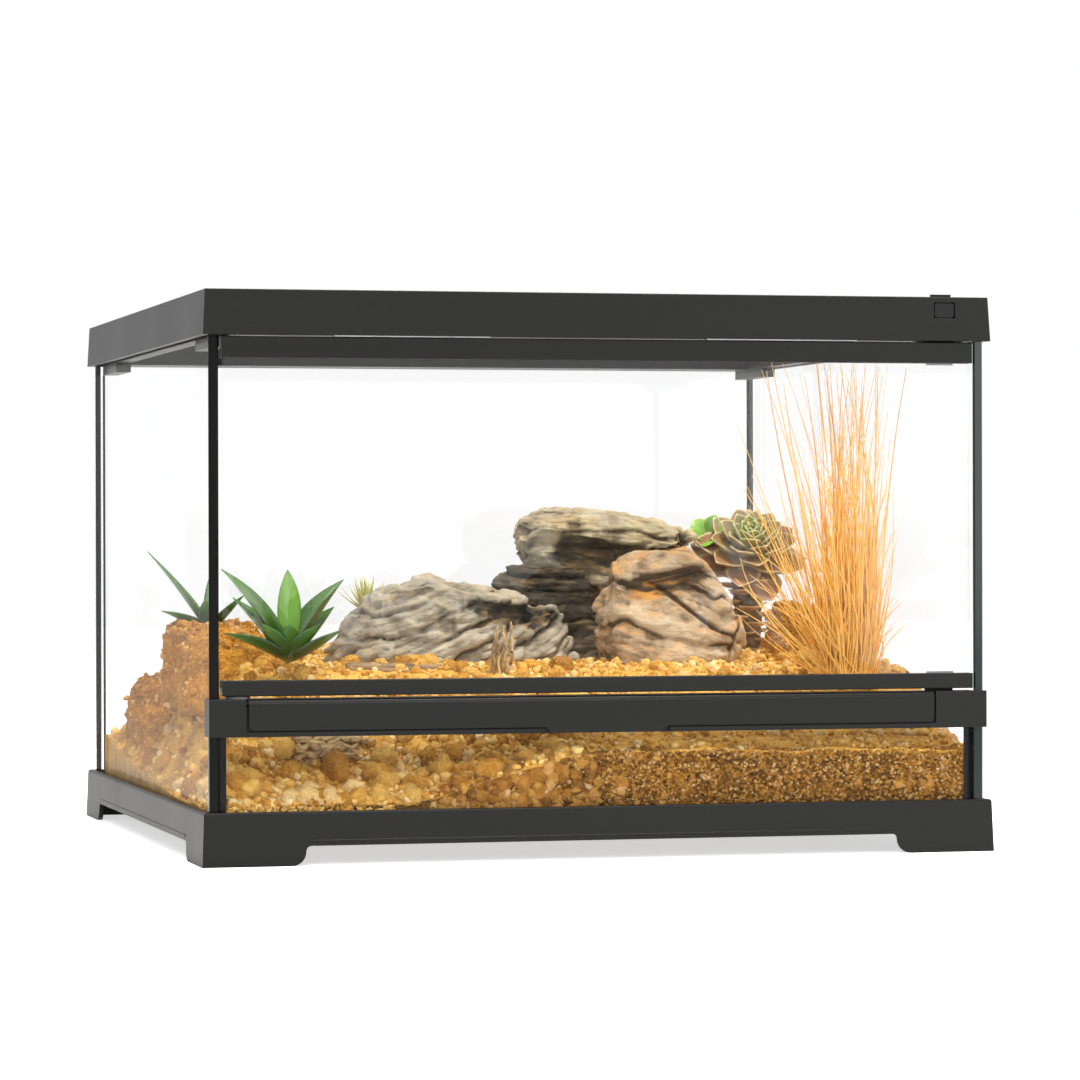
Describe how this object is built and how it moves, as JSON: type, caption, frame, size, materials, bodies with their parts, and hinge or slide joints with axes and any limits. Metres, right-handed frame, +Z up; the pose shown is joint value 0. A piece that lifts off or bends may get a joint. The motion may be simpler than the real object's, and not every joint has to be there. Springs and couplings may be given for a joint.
{
  "type": "reptile terrarium",
  "caption": "Front-opening glass terrarium with a moulded black frame, hinged door, vent flap, release button, screen lid and a dry landscape of sand, rocks, wood and plants.",
  "frame": {"origin": "middle of the base on the surface that the feet stand on", "axes": "+X to the right seen from the front, +Y to the back, +Z up"},
  "size_m": [0.46, 0.46, 0.3201],
  "materials": {
    "frame_plastic": "fine matte moulding texture",
    "flap_plastic": "satin, slightly darker than the frame",
    "button_plastic": "satin",
    "lid_plastic": "fine matte moulding texture",
    "washer_plastic": "plain",
    "fixed_glass": "clear float glass, ground edges",
    "door_glass": "clear float glass, ground edges",
    "silicone": "tooled, glossy",
    "pale_pad": "soft, matte",
    "steel": "bright",
    "striker_steel": "zinc plated, dull grey",
    "screen_steel": "thin coated wire",
    "magnet": "nickel plated",
    "sand": "loose golden sand with pebbles",
    "clay": "crumbly dried clay",
    "grey_rock": "layered, rough",
    "tan_rock": "rough with dusty sand",
    "driftwood": "weathered, fibrous",
    "cactus_wood": "weathered, with holes",
    "succulent_leaf": "waxy",
    "air_plant_leaf": "dull, dusty",
    "rosette_leaf": "waxy, pale edges",
    "dried_grass": "dry straw"
  },
  "bodies": {
    "tank": {"base_frame": "frame_plastic", "floor_glass": "fixed_glass", "left_glass": "fixed_glass", "right_glass": "fixed_glass", "back_glass": "fixed_glass", "lower_front_glass": "fixed_glass", "rear_silicone": "silicone", "front_silicone": "silicone", "front_bar": "frame_plastic", "vent_screen": "screen_steel", "hinge_washer": "washer_plastic", "lower_magnet": "magnet", "top_frame": "frame_plastic", "front_ledge": "frame_plastic", "lid_keeper": "frame_plastic", "door_pads": "pale_pad", "button_spring": "steel", "latch_cover": "frame_plastic", "substrate": "sand", "clay_mound": "clay", "rear_clay_lump": "clay", "long_rock": "grey_rock", "upper_boulder": "tan_rock", "lower_boulder": "tan_rock", "driftwood_stick": "driftwood", "cactus_wood_stump": "cactus_wood", "cactus_wood_log": "cactus_wood", "front_succulent": "succulent_leaf", "rear_succulent": "succulent_leaf", "air_plant": "air_plant_leaf", "rosette_plant": "rosette_leaf", "dried_grass": "dried_grass"},
    "door": {"door_glass": "door_glass", "door_top_strip": "frame_plastic", "door_bottom_strip": "frame_plastic", "upper_hinge_pin": "steel", "lower_hinge_pin": "steel", "upper_striker": "striker_steel", "lower_striker": "striker_steel"},
    "flap": {"vent_flap": "flap_plastic"},
    "button": {"release_button": "button_plastic", "button_magnet": "magnet"},
    "lid": {"lid_frame": "lid_plastic", "lid_mesh": "screen_steel"},
    "left_latch": {"left_lid_latch": "lid_plastic"},
    "right_latch": {"right_lid_latch": "lid_plastic"},
    "left_shutter": {"left_inlet_shutter": "lid_plastic"},
    "right_shutter": {"right_inlet_shutter": "lid_plastic"}
  },
  "joints": [
    {"name": "door_hinge", "type": "hinge", "parent": "tank", "child": "door", "pos_m": [-0.209, -0.222, 0.19], "axis": [0, 0, -1], "range_deg": [0, 110]},
    {"name": "flap_hinge", "type": "hinge", "parent": "tank", "child": "flap", "pos_m": [-0.005, -0.2278, 0.0899], "axis": [-1, 0, 0], "range_deg": [0, 75]},
    {"name": "lid_hinge", "type": "hinge", "parent": "tank", "child": "lid", "pos_m": [0, 0.1958, 0.316], "axis": [-1, 0, 0], "range_deg": [0, 80]},
    {"name": "button_slide", "type": "slide", "parent": "tank", "child": "button", "axis": [0, 1, 0], "range_m": [0, 0.0025], "stiffness_N_per_m": 200, "springref_m": -0.005, "deforming": ["button_spring"]},
    {"name": "left_latch_slide", "type": "slide", "parent": "lid", "child": "left_latch", "axis": [0, -1, 0], "range_m": [0, 0.005]},
    {"name": "right_latch_slide", "type": "slide", "parent": "lid", "child": "right_latch", "axis": [0, -1, 0], "range_m": [0, 0.005]},
    {"name": "left_shutter_slide", "type": "slide", "parent": "tank", "child": "left_shutter", "axis": [1, 0, 0], "range_m": [0, 0.04]},
    {"name": "right_shutter_slide", "type": "slide", "parent": "tank", "child": "right_shutter", "axis": [-1, 0, 0], "range_m": [0, 0.04]}
  ]
}
